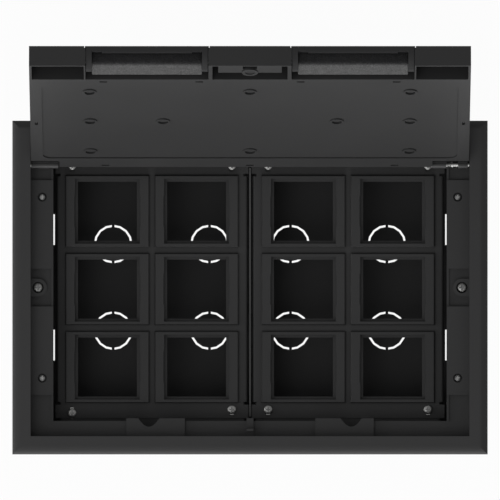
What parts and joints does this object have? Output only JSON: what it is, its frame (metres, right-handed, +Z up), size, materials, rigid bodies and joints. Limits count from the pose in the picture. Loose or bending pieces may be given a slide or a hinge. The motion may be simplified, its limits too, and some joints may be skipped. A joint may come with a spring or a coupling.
{
  "type": "floor socket box",
  "caption": "Recessed floor socket box: trim frame and steel tray, module frames on accessory plates, hinged lid with cable flaps, coin lock and floor clamps.",
  "frame": {"origin": "centre of the tray underside", "axes": "+X to the right, +Y towards the hinge side, +Z up out of the floor"},
  "size_m": [0.329, 0.2813, 0.2631],
  "materials": {
    "dark_frame": "moulded satin",
    "tray_steel": "powder coated",
    "galvanised": "galvanised",
    "zinc": "zinc plated",
    "plate_paint": "powder coated",
    "module_plastic": "moulded satin",
    "dark_lid": "moulded satin",
    "lid_steel": "galvanised",
    "pin_steel": "bright",
    "lock_plastic": "moulded satin",
    "dark_flap": "moulded satin",
    "foam": "open-cell foam"
  },
  "bodies": {
    "box": {"floor_frame": "dark_frame", "base_tray": "tray_steel", "compartment_divider": "galvanised", "plate_screws": "zinc", "frame_screws": "zinc", "accessory_plate_left": "plate_paint", "accessory_plate_right": "plate_paint", "bracket_front_left": "galvanised", "bracket_front_right": "galvanised", "bracket_rear_left": "galvanised", "bracket_rear_right": "galvanised", "module_frame_left_1": "module_plastic", "module_frame_left_2": "module_plastic", "module_frame_left_3": "module_plastic", "module_frame_left_4": "module_plastic", "module_frame_left_5": "module_plastic", "module_frame_left_6": "module_plastic", "module_frame_right_1": "module_plastic", "module_frame_right_2": "module_plastic", "module_frame_right_3": "module_plastic", "module_frame_right_4": "module_plastic", "module_frame_right_5": "module_plastic", "module_frame_right_6": "module_plastic"},
    "lid": {"lid_frame": "dark_lid", "lid_plate": "lid_steel", "lock_carrier": "dark_lid", "hinge_pin": "pin_steel"},
    "lock": {"lock_barrel": "lock_plastic", "lock_cam": "galvanised"},
    "release_pin": {"release_pin": "pin_steel", "release_spring": "pin_steel"},
    "flap_left": {"cable_flap_left": "dark_flap", "flap_foam_left": "foam"},
    "flap_right": {"cable_flap_right": "dark_flap", "flap_foam_right": "foam"},
    "clamp_screw_left": {"clamp_screw_left": "zinc"},
    "clamp_screw_right": {"clamp_screw_right": "zinc"},
    "clamp_jaw_left": {"clamp_jaw_left": "galvanised"},
    "clamp_jaw_right": {"clamp_jaw_right": "galvanised"}
  },
  "joints": [
    {"name": "lid_hinge", "type": "hinge", "parent": "box", "child": "lid", "pos_m": [0, 0.0851, 0.0881], "axis": [1, 0, 0], "range_deg": [0, 111.83]},
    {"name": "flap_hinge_left", "type": "hinge", "parent": "lid", "child": "flap_left", "pos_m": [-0.0707, 0.15556, 0.23741], "axis": [-1, 0, 0], "range_deg": [0, 90]},
    {"name": "flap_hinge_right", "type": "hinge", "parent": "lid", "child": "flap_right", "pos_m": [0.0707, 0.15556, 0.23741], "axis": [-1, 0, 0], "range_deg": [0, 90]},
    {"name": "lock_turn", "type": "hinge", "parent": "lid", "child": "lock", "pos_m": [0, 0.15087, 0.25232], "axis": [0, -0.9283, 0.3718], "range_deg": [0, 90]},
    {"name": "release_slide", "type": "slide", "parent": "lid", "child": "release_pin", "axis": [1, 0, 0], "range_m": [-0.0015, 0], "stiffness_N_per_m": 500, "springref_m": 0.002},
    {"name": "clamp_swing_left", "type": "hinge", "parent": "box", "child": "clamp_screw_left", "pos_m": [-0.1468, 0, 0.054], "axis": [0, 0, 1], "range_deg": [0, 90]},
    {"name": "clamp_rise_left", "type": "slide", "parent": "clamp_screw_left", "child": "clamp_jaw_left", "axis": [0, 0, 1], "range_m": [0, 0.014]},
    {"name": "clamp_swing_right", "type": "hinge", "parent": "box", "child": "clamp_screw_right", "pos_m": [0.1468, 0, 0.054], "axis": [0, 0, -1], "range_deg": [0, 90]},
    {"name": "clamp_rise_right", "type": "slide", "parent": "clamp_screw_right", "child": "clamp_jaw_right", "axis": [0, 0, 1], "range_m": [0, 0.014]}
  ]
}
